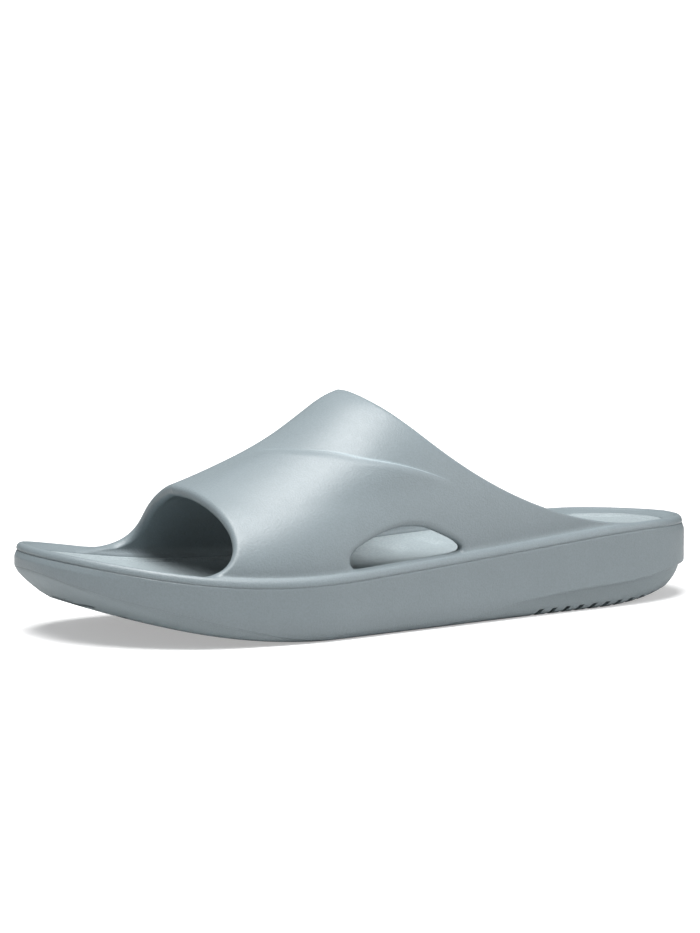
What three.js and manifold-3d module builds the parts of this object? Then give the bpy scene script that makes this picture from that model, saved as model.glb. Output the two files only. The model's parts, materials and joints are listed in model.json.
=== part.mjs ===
// Slide sandal for the left foot: a foam body whose strap and midsole are moulded as one, an outsole
// under it and a footbed laid into it. Millimetres, +Z up. The toe points to -X, the outer side of
// the foot is -Y, and the sandal stands on z = 0 with its outline centred on the origin.
import * as THREE from 'three';
import { mergeVertices } from 'three/addons/utils/BufferGeometryUtils.js';
import Module from 'manifold-3d';

const wasm = await Module();
wasm.setup();

// Driving dimensions: the sole
const LENGTH = 296;
const BALL_WIDTH = 107;
const TOE_SWAY = 19; // how far the toe tip lies to the inner side of the heel's centreline
const RIM_HEIGHT = 34; // floor to rim at the back of the heel
const TOE_SPRING = 19;
const HEEL_BEVEL = 8;
const EDGE_ROUND = 5.5; // how far the lower edge turns in
const EDGE_ROUND_HEIGHT = 10;
const CREST_INSET = 1.5; // from the outline in to the top of the rim bead
const BEAD_DEPTH = 3.2; // from the crest down to the groove under the bead
const BEAD_GROOVE = 0.5;
const BEAD_GROOVE_HEIGHT = 1.4;

// Driving dimensions: outsole and footbed
const OUTSOLE_THICKNESS = 6;
const BAND_SETBACK = 2; // step between the side wall and the outsole's band
const BAND_BEVEL = 6; // how far the band slants in below the step
const TREAD_PITCH = 5.2;
const TREAD_GROOVE = 1.7;
const TREAD_DEPTH = 2.2;
const TREAD_SLANT = 14; // degrees
const TREAD_MARGIN = 10; // smooth edge beside the forefoot grooves
const FOOTBED_INSET = 9.5; // from the outline in to the footbed's edge
const FOOTBED_THICKNESS = 4;
const DISH_DEPTH = 5;
const DISH_REACH = 30;
const ARCH_RISE = 4; // support under the inner side's arch
const CLEARANCE = 0.3; // between pieces that lie against each other

// Driving dimensions: the strap
const INSTEP_HEIGHT = 94; // floor to the strap's ridge at its rear edge
const WALL = 5;
const STRAP_INSET = 2.6; // from the outline in to the strap's outer face
const RIDGE_SHIFT = 3.5; // ridge to the inner side of the centreline
const CREASE_STEP = 1.1;
const CREASE_WIDTH = 5;
const CUTOUT_HEIGHT = 13.8;
const CUTOUT_SILL = 0.6; // cut-out's lower edge above the rim
const TAIL_DIVE = 2.5; // how far the strap's low ends sink into the rim

// Fineness of the facets
const AROUND = 80;
const STRAP_COLUMNS = 15; // from the rim to the ridge, on each side
const STRAP_ROWS = 11; // from the front edge to the rear edge

// Stations run from 0 at the back of the heel to 1 at the toe tip.
// Outline: half widths as shares of half the ball width, before the round envelope of heel and toe
const OUTLINE = [
  { at: 0.00, outer: 0.94, inner: 0.95 },
  { at: 0.05, outer: 0.94, inner: 0.95 },
  { at: 0.12, outer: 0.89, inner: 0.91 },
  { at: 0.20, outer: 0.84, inner: 0.82 },
  { at: 0.30, outer: 0.82, inner: 0.73 },
  { at: 0.40, outer: 0.85, inner: 0.70 },
  { at: 0.50, outer: 0.91, inner: 0.74 },
  { at: 0.60, outer: 1.00, inner: 0.84 },
  { at: 0.68, outer: 1.10, inner: 0.92 },
  { at: 0.75, outer: 1.17, inner: 0.99 },
  { at: 0.82, outer: 1.25, inner: 1.03 },
  { at: 0.88, outer: 1.31, inner: 1.06 },
  { at: 0.94, outer: 1.32, inner: 1.07 },
  { at: 1.00, outer: 1.32, inner: 1.07 },
];
const ENVELOPE_POWER = 2.5;
const SWAY_START = 0.45;
const SWAY_POWER = 2.2;

// Rim: height of its crest on the outer and inner side, as shares of RIM_HEIGHT
const RIM = [
  { at: 0.0, outer: 1.00, inner: 0.95 },
  { at: 0.1, outer: 1.03, inner: 0.99 },
  { at: 0.2, outer: 1.00, inner: 0.97 },
  { at: 0.3, outer: 0.94, inner: 0.92 },
  { at: 0.4, outer: 0.88, inner: 0.86 },
  { at: 0.5, outer: 0.825, inner: 0.81 },
  { at: 0.6, outer: 0.775, inner: 0.77 },
  { at: 0.7, outer: 0.745, inner: 0.75 },
  { at: 0.8, outer: 0.785, inner: 0.80 },
  { at: 0.9, outer: 0.905, inner: 0.93 },
  { at: 1.0, outer: 1.08, inner: 1.11 },
];
const RIM_BLEND = 0.37; // share of the ball width over which one side's rim passes into the other's

// Lower edge of the side wall: its height above the sole's underside as shares of
// EDGE_ROUND_HEIGHT, the outsole's setback there as shares of BAND_SETBACK, and how far the
// outsole's own edge slants in below it, as shares of BAND_BEVEL
const BAND = [
  { at: 0.00, height: 0.66, setback: 1, bevel: 0.6 },
  { at: 0.06, height: 1.00, setback: 1, bevel: 0.5 },
  { at: 0.12, height: 1.02, setback: 1, bevel: 0.3 },
  { at: 0.20, height: 1.00, setback: 1, bevel: 0.1 },
  { at: 0.30, height: 0.83, setback: 0.85, bevel: 0 },
  { at: 0.38, height: 0.62, setback: 0.5, bevel: 0 },
  { at: 0.44, height: 0.34, setback: 0.15, bevel: 0 },
  { at: 0.50, height: 0.18, setback: 0, bevel: 0 },
  { at: 0.60, height: 0.16, setback: 0, bevel: 0 },
  { at: 0.70, height: 0.18, setback: 0, bevel: 0 },
  { at: 0.77, height: 0.35, setback: 0.2, bevel: 0.05 },
  { at: 0.84, height: 0.54, setback: 0.7, bevel: 0.35 },
  { at: 0.90, height: 0.65, setback: 1, bevel: 0.8 },
  { at: 0.95, height: 0.65, setback: 1, bevel: 1.2 },
  { at: 1.00, height: 0.85, setback: 1, bevel: 1.4 },
];
const TOE_SPRING_START = 0.66;
const HEEL_BEVEL_END = 0.2;

// Rim bead, from its inner foot over the crest to the groove under it: insets as shares of
// CREST_INSET, drops below the crest as shares of BEAD_DEPTH
const BEAD = [
  { inset: 1.8, drop: 0.08 },
  { inset: 1.0, drop: 0 },
  { inset: 0.3, drop: 0.3 },
  { inset: 0.0, drop: 0.75 },
];

// Middle of the arch support and how far it spreads, in stations
const ARCH_SUPPORT = { station: 0.42, spread: 0.13 };

// Strap: height of its ridge as shares of INSTEP_HEIGHT, and how full each side's arch is
// (2 is an ellipse, less is more pointed). Rows behind 0.56 shape the sides below the open instep.
const ARCH = [
  { at: 0.30, ridge: 1.05, outer: 1.82, inner: 1.84 },
  { at: 0.40, ridge: 1.11, outer: 1.84, inner: 1.80 },
  { at: 0.48, ridge: 1.09, outer: 1.87, inner: 1.72 },
  { at: 0.56, ridge: 0.99, outer: 1.90, inner: 1.64 },
  { at: 0.64, ridge: 0.825, outer: 1.94, inner: 1.60 },
  { at: 0.72, ridge: 0.70, outer: 1.99, inner: 1.60 },
  { at: 0.80, ridge: 0.605, outer: 2.03, inner: 1.60 },
  { at: 0.88, ridge: 0.54, outer: 2.07, inner: 1.60 },
];

// Edges of the strap: stations of its front and rear edge, from the rim (0) to the ridge (1)
const EDGES = [
  { at: 0.00, outerFront: 0.82, innerFront: 0.85, rear: 0.172 },
  { at: 0.12, outerFront: 0.80, innerFront: 0.812, rear: 0.288 },
  { at: 0.25, outerFront: 0.788, innerFront: 0.79, rear: 0.393 },
  { at: 0.50, outerFront: 0.784, innerFront: 0.785, rear: 0.498 },
  { at: 0.75, outerFront: 0.787, innerFront: 0.786, rear: 0.543 },
  { at: 1.00, outerFront: 0.79, innerFront: 0.79, rear: 0.556 },
];

// Low ends of the strap's edges: below this rise they taper off along the rim by these stations
const TAIL = { rise: 0.08, front: 0.02, rear: 0.05 };

// Crease across the outer side: station of the step, from low on the side to near the ridge
const CREASE = [
  { at: 0.27, station: 0.459 },
  { at: 0.35, station: 0.516 },
  { at: 0.48, station: 0.585 },
  { at: 0.55, station: 0.606 },
  { at: 0.73, station: 0.650 },
  { at: 0.88, station: 0.676 },
];
const CREASE_FADE = { low: 0.22, full: 0.4, last: 0.8, gone: 0.98 };
const CREASE_RUNOUT = 45; // the bulge in front of the crease sinks back over this length

// Almond cut-out in the outer side: height of its upper edge above the sill, as shares of
// CUTOUT_HEIGHT, from its pointed rear end to its blunt front end
const CUTOUT = [
  { at: 0.450, height: 0.12 },
  { at: 0.458, height: 0.30 },
  { at: 0.469, height: 0.45 },
  { at: 0.492, height: 0.71 },
  { at: 0.511, height: 0.89 },
  { at: 0.530, height: 0.97 },
  { at: 0.550, height: 1.00 },
  { at: 0.572, height: 0.94 },
  { at: 0.597, height: 0.80 },
  { at: 0.620, height: 0.61 },
  { at: 0.631, height: 0.45 },
  { at: 0.635, height: 0.28 },
  { at: 0.633, height: 0.12 },
];

// Natural cubic curve through the rows of a table
function curve(table, column) {
  const n = table.length;
  const x = table.map((row) => row.at);
  const y = table.map((row) => row[column]);
  const second = new Array(n).fill(0);
  const work = new Array(n).fill(0);
  for (let i = 1; i < n - 1; i++) {
    const share = (x[i] - x[i - 1]) / (x[i + 1] - x[i - 1]);
    const pivot = share * second[i - 1] + 2;
    const rise = (y[i + 1] - y[i]) / (x[i + 1] - x[i]) - (y[i] - y[i - 1]) / (x[i] - x[i - 1]);
    second[i] = (share - 1) / pivot;
    work[i] = ((6 * rise) / (x[i + 1] - x[i - 1]) - share * work[i - 1]) / pivot;
  }
  for (let i = n - 2; i > 0; i--) second[i] = second[i] * second[i + 1] + work[i];
  return (at) => {
    let i = 0;
    while (i < n - 2 && at > x[i + 1]) i++;
    const h = x[i + 1] - x[i];
    const a = (x[i + 1] - at) / h;
    const b = (at - x[i]) / h;
    const bend = ((a ** 3 - a) * second[i] + (b ** 3 - b) * second[i + 1]) * h * h / 6;
    return a * y[i] + b * y[i + 1] + bend;
  };
}

const { clamp, lerp, smoothstep, degToRad } = THREE.MathUtils;
const stationX = (station) => LENGTH * (0.5 - station);
const stationOf = (x) => clamp(0.5 - x / LENGTH, 0, 1);

// Outline of the sole, seen from above
const outerShare = curve(OUTLINE, 'outer');
const innerShare = curve(OUTLINE, 'inner');
function centreline(station) {
  return TOE_SWAY * clamp((station - SWAY_START) / (1 - SWAY_START), 0, 1) ** SWAY_POWER;
}

function envelope(station) {
  const end = Math.abs(2 * station - 1);
  return Math.max(0, 1 - end ** ENVELOPE_POWER) ** (1 / ENVELOPE_POWER);
}

function edgeY(station, side) {
  const share = side < 0 ? outerShare(station) : innerShare(station);
  return centreline(station) + side * (BALL_WIDTH / 2) * share * envelope(station);
}

// One point of the outline for each step round it: heel, outer side, toe, inner side
const outline = [];
for (let i = 0; i < AROUND; i++) {
  const turn = (2 * Math.PI * i) / AROUND;
  const station = (1 - Math.cos(turn)) / 2;
  const side = turn <= Math.PI ? -1 : 1;
  outline.push({ station, x: stationX(station), y: edgeY(station, side) });
}
outline.forEach((point, i) => {
  const before = outline[(i + AROUND - 1) % AROUND];
  const after = outline[(i + 1) % AROUND];
  const along = new THREE.Vector2(after.x - before.x, after.y - before.y).normalize();
  point.inward = new THREE.Vector2(along.y, -along.x);
  if (point.inward.x * point.x + point.inward.y * (point.y - centreline(point.station)) > 0) {
    point.inward.negate();
  }
});

// Heights of the sole
const rimOuter = curve(RIM, 'outer');
const rimInner = curve(RIM, 'inner');
const bandHeight = curve(BAND, 'height');
const bandSetback = curve(BAND, 'setback');
const bandBevel = curve(BAND, 'bevel');

function rimZ(x, y) {
  const station = stationOf(x);
  const across = clamp((y - centreline(station)) / (RIM_BLEND * BALL_WIDTH), 0, 1);
  return RIM_HEIGHT * lerp(rimOuter(station), rimInner(station), across);
}

function undersideZ(station) {
  const toe = clamp((station - TOE_SPRING_START) / (1 - TOE_SPRING_START), 0, 1);
  const heel = clamp((HEEL_BEVEL_END - station) / HEEL_BEVEL_END, 0, 1);
  return TOE_SPRING * toe ** 2 + HEEL_BEVEL * heel ** 2;
}

// The dished surface that the foot stands on, by place and by distance in from the outline
function footbedZ(x, y, inset) {
  const station = stationOf(x);
  const depth = 1 - (1 - clamp((inset - CREST_INSET) / (DISH_REACH - CREST_INSET), 0, 1)) ** 2;
  const inArch = Math.exp(-(((station - ARCH_SUPPORT.station) / ARCH_SUPPORT.spread) ** 2));
  const toInner = smoothstep(y, 0, BALL_WIDTH / 3);
  return rimZ(x, y) - DISH_DEPTH * depth + ARCH_RISE * inArch * toInner * depth;
}

function edgeTurn(height) {
  const part = clamp(1 - height / EDGE_ROUND_HEIGHT, 0, 1);
  return EDGE_ROUND * (1 - Math.sqrt(1 - part ** 2));
}

// A ring round the sole, from a function of the outline point that gives its inset and height
function ring(place) {
  return outline.map((point) => {
    const { inset, z } = place(point);
    const x = point.x + point.inward.x * inset;
    const y = point.y + point.inward.y * inset;
    return new THREE.Vector3(x, y, typeof z === 'function' ? z(x, y) : z);
  });
}

// Rings that close a surface towards the sole's middle line
const SPINE_SHARE = 1 - (2 * (DISH_REACH + 4)) / LENGTH;
function towardsSpine(edge, shares, heightAt) {
  return shares.map((share) => edge.map((from, i) => {
    const spineStation = 0.5 + (outline[i].station - 0.5) * SPINE_SHARE;
    const x = lerp(from.x, stationX(spineStation), share);
    const y = lerp(from.y, centreline(spineStation), share);
    return new THREE.Vector3(x, y, heightAt(x, y, share));
  }));
}

// A closed surface through a stack of rings whose first and last ring have shrunk to a line
function skin(rings) {
  const count = rings[0].length;
  const points = rings.flat();
  const positions = points.flatMap((point) => [point.x, point.y, point.z]);
  const index = [];
  for (let r = 0; r + 1 < rings.length; r++) {
    for (let i = 0; i < count; i++) {
      const a = r * count + i;
      const b = r * count + ((i + 1) % count);
      const c = a + count;
      const d = b + count;
      // the shorter diagonal, so that two surfaces that lie together have the same facets
      if (points[a].distanceTo(points[d]) < points[b].distanceTo(points[c])) {
        index.push(a, b, d, a, d, c);
      } else {
        index.push(a, b, c, b, d, c);
      }
    }
  }
  const geometry = new THREE.BufferGeometry();
  geometry.setAttribute('position', new THREE.Float32BufferAttribute(positions, 3));
  geometry.setIndex(index);
  return geometry;
}

// Geometry to solid and back
function solid(geometry) {
  geometry.deleteAttribute('normal');
  geometry.deleteAttribute('uv');
  const merged = mergeVertices(geometry, 1e-4);
  const corners = [];
  const source = merged.index.array;
  for (let i = 0; i < source.length; i += 3) {
    const [a, b, c] = source.slice(i, i + 3);
    if (a !== b && b !== c && c !== a) corners.push(a, b, c);
  }
  const mesh = new wasm.Mesh({
    numProp: 3,
    vertProperties: new Float32Array(merged.attributes.position.array),
    triVerts: new Uint32Array(corners),
  });
  return new wasm.Manifold(mesh);
}

function geometryOf(body) {
  const { vertProperties, triVerts } = body.getMesh();
  const geometry = new THREE.BufferGeometry();
  geometry.setAttribute('position', new THREE.Float32BufferAttribute(vertProperties, 3));
  geometry.setIndex(Array.from(triVerts));
  const faceted = geometry.toNonIndexed();
  faceted.computeVertexNormals();
  return faceted;
}

// Where body and outsole meet: a shelf at the side wall's lower edge, a slope, then a face that
// follows the sole's underside
const wallFootZ = (station) => undersideZ(station) + EDGE_ROUND_HEIGHT * bandHeight(station);
const jointZ = (x) => undersideZ(stationOf(x)) + OUTSOLE_THICKNESS;
const SHELF_INSET = EDGE_ROUND + 1;
const SLOPE_END_INSET = SHELF_INSET + 0.85 * OUTSOLE_THICKNESS;

// Midsole: recess for the footbed, ledge, rim bead, side wall and underside
function midsole() {
  const recessInset = FOOTBED_INSET - CLEARANCE;
  const floorZ = (x, y, inset) => footbedZ(x, y, inset) - FOOTBED_THICKNESS - CLEARANCE;
  const inner = ring(() => ({ inset: recessInset, z: (x, y) => floorZ(x, y, recessInset) }));
  const floor = towardsSpine(inner, [1, 0.5], (x, y, share) => (
    floorZ(x, y, lerp(recessInset, DISH_REACH, share))
  ));
  const ledge = [recessInset, (recessInset + CREST_INSET) / 2].map((inset) => (
    ring(() => ({ inset, z: (x, y) => footbedZ(x, y, inset) }))
  ));
  const belowRim = (inset, drop) => ring(() => ({ inset, z: (x, y) => rimZ(x, y) - drop }));
  const bead = BEAD.map(({ inset, drop }) => belowRim(CREST_INSET * inset, BEAD_DEPTH * drop));
  const groove = belowRim(BEAD_GROOVE, BEAD_DEPTH);
  const wallTopDrop = BEAD_DEPTH + BEAD_GROOVE_HEIGHT / 2;
  const wall = [0, 0.4, 0.72, 0.9, 1].map((share) => ring((point) => {
    const z = lerp(rimZ(point.x, point.y) - wallTopDrop, wallFootZ(point.station), share);
    return { inset: edgeTurn(z - undersideZ(point.station)), z };
  }));
  const shelf = ring((point) => ({ inset: SHELF_INSET, z: wallFootZ(point.station) }));
  const slope = ring(() => ({ inset: SLOPE_END_INSET, z: jointZ }));
  const underside = towardsSpine(slope, [0.5, 1], jointZ);
  const upperSide = [...floor, inner, ...ledge, ...bead, groove];
  return solid(skin([...upperSide, ...wall, shelf, slope, ...underside]));
}

// Strap
const ridgeShare = curve(ARCH, 'ridge');
const outerFullness = curve(ARCH, 'outer');
const innerFullness = curve(ARCH, 'inner');
const outerFront = curve(EDGES, 'outerFront');
const innerFront = curve(EDGES, 'innerFront');
const rearEdge = curve(EDGES, 'rear');
const creaseStation = curve(CREASE, 'station');

function creaseLift(station, rise, side) {
  if (side > 0) return 0;
  const { low, full, last, gone } = CREASE_FADE;
  const fade = smoothstep(rise, low, full) * (1 - smoothstep(rise, last, gone));
  const ahead = LENGTH * (station - creaseStation(rise));
  const step = smoothstep(ahead, 0, CREASE_WIDTH);
  return CREASE_STEP * fade * step * (1 - smoothstep(ahead, 0, CREASE_RUNOUT));
}

const tailShare = (rise) => Math.max(0, 1 - rise / TAIL.rise) ** 2;

// Outer face of the strap by station and by rise, 0 at the rim and 1 at the ridge
function archPoint(station, rise, side) {
  const angle = (rise * Math.PI) / 2;
  const power = 2 / (side < 0 ? outerFullness(station) : innerFullness(station));
  const baseY = edgeY(station, side) - side * STRAP_INSET;
  const x = stationX(station);
  const baseZ = rimZ(x, baseY);
  const ridgeY = centreline(station) + RIDGE_SHIFT;
  const ridgeZ = INSTEP_HEIGHT * ridgeShare(station);
  return new THREE.Vector3(
    x,
    lerp(ridgeY, baseY, Math.cos(angle) ** power),
    lerp(baseZ, ridgeZ, Math.sin(angle) ** power) - TAIL_DIVE * tailShare(rise),
  );
}

function strapFrame(station, rise, side) {
  const step = 0.004;
  const at = clamp(rise, step, 1 - step);
  const up = archPoint(station, at + step, side).sub(archPoint(station, at - step, side));
  const forward = archPoint(station + step, at, side).sub(archPoint(station - step, at, side));
  const out = new THREE.Vector3().crossVectors(forward, up).multiplyScalar(side).normalize();
  const point = archPoint(station, rise, side);
  point.addScaledVector(out, creaseLift(station, rise, side));
  return { point, out, forward: forward.normalize() };
}

// One closed loop round the wall of the strap, at one rise on one side. Its edges are half round.
const LIP_TURNS = [45, 90, 135];
const REAR_TRIM = 0.3; // share of the wall by which the rear face stops short of its rounded edge
function strapLoop(rise, side) {
  const tail = tailShare(rise);
  const front = (side < 0 ? outerFront(rise) : innerFront(rise)) + TAIL.front * tail;
  const rear = rearEdge(rise) + (REAR_TRIM * WALL) / LENGTH - TAIL.rear * tail;
  const rows = [];
  for (let i = 0; i < STRAP_ROWS; i++) {
    rows.push(strapFrame(lerp(front, rear, i / (STRAP_ROWS - 1)), rise, side));
  }
  const outside = rows.map(({ point }) => point);
  const inside = rows.map(({ point, out }) => point.clone().addScaledVector(out, -WALL)).reverse();
  const lip = ({ point, out, forward }, sign) => LIP_TURNS.map((degrees) => {
    const turn = degToRad(degrees);
    return point.clone()
      .addScaledVector(out, (WALL / 2) * (Math.cos(turn) - 1))
      .addScaledVector(forward, sign * (WALL / 2) * Math.sin(turn));
  });
  const rearLip = lip(rows[STRAP_ROWS - 1], -1);
  const frontLip = lip(rows[0], 1).reverse();
  return [...outside, ...rearLip, ...inside, ...frontLip];
}

// The foot of the strap, sunk into the midsole, and the line down the middle of its wall there
function strapFoot(side) {
  const depth = BEAD_DEPTH + WALL;
  const foot = strapLoop(0, side).map(({ x, y, z }) => new THREE.Vector3(x, y, z - depth));
  const lastInside = 2 * STRAP_ROWS + LIP_TURNS.length - 1;
  const middle = foot.map((point, i) => {
    const across = foot[(lastInside - i + foot.length) % foot.length];
    return point.clone().lerp(across, 0.5);
  });
  return { foot, middle };
}

function strap() {
  const rises = Array.from({ length: STRAP_COLUMNS }, (_, i) => i / (STRAP_COLUMNS - 1));
  const up = rises.map((rise) => strapLoop(rise, -1));
  const down = rises.slice(0, -1).reverse().map((rise) => strapLoop(rise, 1));
  const outer = strapFoot(-1);
  const inner = strapFoot(1);
  return solid(skin([outer.middle, outer.foot, ...up, ...down, inner.foot, inner.middle]));
}

// Cutter for the almond, through the outer side only
function cutoutCutter() {
  const outside = -BALL_WIDTH;
  const sillZ = (station) => rimZ(stationX(station), outside) + CUTOUT_SILL;
  const top = CUTOUT.map(({ at, height }) => (
    new THREE.Vector2(stationX(at), sillZ(at) + CUTOUT_HEIGHT * height)
  ));
  const first = CUTOUT[0].at;
  const last = CUTOUT[CUTOUT.length - 1].at;
  const sill = [0.96, 0.75, 0.5, 0.25, 0.04].map((share) => {
    const station = lerp(first, last, share);
    return new THREE.Vector2(stationX(station), sillZ(station));
  });
  const middle = centreline((first + last) / 2);
  const shape = new THREE.Shape([...top, ...sill]);
  const geometry = new THREE.ExtrudeGeometry(shape, { depth: middle - outside, bevelEnabled: false });
  geometry.rotateX(Math.PI / 2);
  geometry.translate(0, middle, 0);
  return solid(geometry);
}

// Outsole: its top follows the body's underside, its sides turn in to a slanted, grooved tread
const jointGap = CLEARANCE * Math.SQRT2; // measured straight down, on a joint of up to 45 degrees

function outsoleBlank() {
  const slope = ring(() => ({ inset: SLOPE_END_INSET, z: (x) => jointZ(x) - jointGap }));
  const top = towardsSpine(slope, [1, 0.5], (x) => jointZ(x) - jointGap);
  const shelf = ring((point) => ({ inset: SHELF_INSET, z: wallFootZ(point.station) - jointGap }));
  const side = [1, 0.55, 0.2, 0].map((share) => ring(({ station }) => {
    const topZ = wallFootZ(station) - jointGap;
    const setback = BAND_SETBACK * Math.max(0, bandSetback(station));
    const bevel = BAND_BEVEL * Math.max(0, bandBevel(station));
    return {
      inset: edgeTurn(share * (topZ - undersideZ(station))) + lerp(bevel, setback, share),
      z: (x) => lerp(undersideZ(stationOf(x)), topZ, share),
    };
  }));
  const tread = towardsSpine(side[side.length - 1], [0.5, 1], (x) => undersideZ(stationOf(x)));
  return solid(skin([...top, slope, shelf, ...side, ...tread]));
}

// Stretches of the tread: grooves run out through the edge at heel and toe, and stop short of it
// by a margin under the ball
const TREAD_ZONES = [
  { from: 0.075, to: 0.365, margin: -TREAD_MARGIN },
  { from: 0.60, to: 0.91, margin: TREAD_MARGIN },
  { from: 0.91, to: 0.985, margin: -TREAD_MARGIN },
];

function grooves() {
  const cuts = [];
  TREAD_ZONES.forEach(({ from, to, margin }) => {
    const count = Math.floor((LENGTH * (to - from)) / TREAD_PITCH);
    for (let i = 0; i < count; i++) {
      const station = from + ((i + 0.5) * TREAD_PITCH) / LENGTH;
      const low = edgeY(station, -1) + EDGE_ROUND + margin;
      const high = edgeY(station, 1) - EDGE_ROUND - margin;
      const tall = TREAD_DEPTH + HEEL_BEVEL;
      const middleZ = undersideZ(station) + TREAD_DEPTH - tall / 2;
      const cut = new THREE.BoxGeometry(TREAD_GROOVE, high - low, tall);
      cut.rotateZ(degToRad(TREAD_SLANT));
      cut.translate(stationX(station), (low + high) / 2, middleZ);
      cuts.push(solid(cut));
    }
  });
  return cuts;
}

// Smooth pads, left free of grooves, that the sandal stands on
const PADS = [
  { station: 0.25, halfLength: 17, halfWidth: 14 },
  { station: 0.63, halfLength: 15, halfWidth: 20 },
];
function padKeeper({ station, halfLength, halfWidth }) {
  const oval = new THREE.CylinderGeometry(1, 1, 4 * TREAD_DEPTH, 24);
  oval.rotateX(Math.PI / 2);
  oval.scale(halfLength, halfWidth, 1);
  oval.translate(stationX(station), centreline(station), 0);
  return solid(oval);
}

function outsole() {
  const pads = PADS.map(padKeeper).reduce((all, pad) => all.add(pad));
  return grooves().reduce((body, cut) => body.subtract(cut.subtract(pads)), outsoleBlank());
}

// Footbed: a dished inlay of even thickness with a softened top edge
const FOOTBED_CORNER = 0.5;

function footbed() {
  const edgeRing = (drop, turnIn) => ring(() => ({
    inset: FOOTBED_INSET + turnIn,
    z: (x, y) => footbedZ(x, y, FOOTBED_INSET) - drop,
  }));
  const face = (drop, shares) => towardsSpine(edgeRing(drop, 0), shares, (x, y, share) => (
    footbedZ(x, y, lerp(FOOTBED_INSET, DISH_REACH, share)) - drop
  ));
  const top = [...face(0, [1, 0.5]), edgeRing(0, FOOTBED_CORNER)];
  const bottom = [edgeRing(FOOTBED_THICKNESS, 0), ...face(FOOTBED_THICKNESS, [0.5, 1])];
  return solid(skin([...top, edgeRing(FOOTBED_CORNER, 0), ...bottom]));
}

// Materials and assembly
const foam = new THREE.MeshStandardMaterial({ color: 0x8b989f, roughness: 0.72, metalness: 0 });
const insoleFoam = new THREE.MeshStandardMaterial({ color: 0x98a4a9, roughness: 0.8, metalness: 0 });
const rubber = new THREE.MeshStandardMaterial({ color: 0x929d9f, roughness: 0.82, metalness: 0 });

function part(name, body, material) {
  const mesh = new THREE.Mesh(geometryOf(body), material);
  mesh.name = name;
  return mesh;
}

const sandal = new THREE.Group();
const body = midsole().add(strap()).subtract(cutoutCutter());
sandal.add(part('upper_and_midsole', body, foam));
sandal.add(part('footbed', footbed(), insoleFoam));
sandal.add(part('outsole', outsole(), rubber));

// The middle of the sandal's width goes on the origin
const acrossSole = outline.map((point) => point.y);
sandal.position.y = -(Math.min(...acrossSole) + Math.max(...acrossSole)) / 2;

export default sandal;
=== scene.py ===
"""Slide sandal for the left foot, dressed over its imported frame.

One moulded foam body, a footbed laid into it and a grooved outsole under it, on a plain pale floor
in soft studio light. The toe points to -X and the outer side of the foot is -Y.
"""

import json
import logging
import math
from collections.abc import Callable
from dataclasses import dataclass
from enum import Enum
from typing import Any

import bmesh
import bpy
import numpy as np
from mathutils import Matrix, Vector
from mathutils.bvhtree import BVHTree
from mathutils.kdtree import KDTree

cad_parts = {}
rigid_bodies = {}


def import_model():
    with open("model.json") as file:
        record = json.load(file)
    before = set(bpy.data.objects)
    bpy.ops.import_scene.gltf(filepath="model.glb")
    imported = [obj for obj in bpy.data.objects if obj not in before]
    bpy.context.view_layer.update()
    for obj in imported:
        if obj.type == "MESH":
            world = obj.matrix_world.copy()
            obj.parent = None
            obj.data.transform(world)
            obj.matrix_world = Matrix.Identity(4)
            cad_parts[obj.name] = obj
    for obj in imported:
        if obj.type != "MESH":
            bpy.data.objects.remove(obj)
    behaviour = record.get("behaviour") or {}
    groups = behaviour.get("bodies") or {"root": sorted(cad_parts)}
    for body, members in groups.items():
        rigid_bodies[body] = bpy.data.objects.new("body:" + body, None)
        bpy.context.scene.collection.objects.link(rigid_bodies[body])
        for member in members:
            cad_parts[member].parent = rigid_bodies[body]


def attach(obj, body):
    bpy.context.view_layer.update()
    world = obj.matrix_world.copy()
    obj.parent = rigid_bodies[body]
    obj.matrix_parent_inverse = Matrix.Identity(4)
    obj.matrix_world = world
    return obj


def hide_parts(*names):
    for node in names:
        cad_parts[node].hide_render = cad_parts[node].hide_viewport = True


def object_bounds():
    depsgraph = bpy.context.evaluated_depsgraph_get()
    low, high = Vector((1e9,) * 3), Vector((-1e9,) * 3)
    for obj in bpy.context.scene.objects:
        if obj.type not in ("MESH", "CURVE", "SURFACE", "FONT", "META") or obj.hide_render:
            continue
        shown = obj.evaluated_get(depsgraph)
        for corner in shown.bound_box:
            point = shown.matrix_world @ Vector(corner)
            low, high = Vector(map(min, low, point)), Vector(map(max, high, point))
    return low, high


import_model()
cad_low, cad_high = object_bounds()

LOG = logging.getLogger("sandal")
Array = np.ndarray
Curve = Callable[[Array], Array]
MM = 0.001
OUTER = -1
INNER = 1
# Attribute that holds the painted highlight along the crease
PAINTED_HIGHLIGHT = "painted_highlight"
MERGED = 0.002 * MM
SLIVER = 0.001 * MM
CUT_SLIVER = 0.05 * MM
SHARP_ANGLE = math.radians(38)
# Shares of the way from a sole's edge to its middle line
TO_SPINE = np.linspace(0.25, 1, 4)


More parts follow.
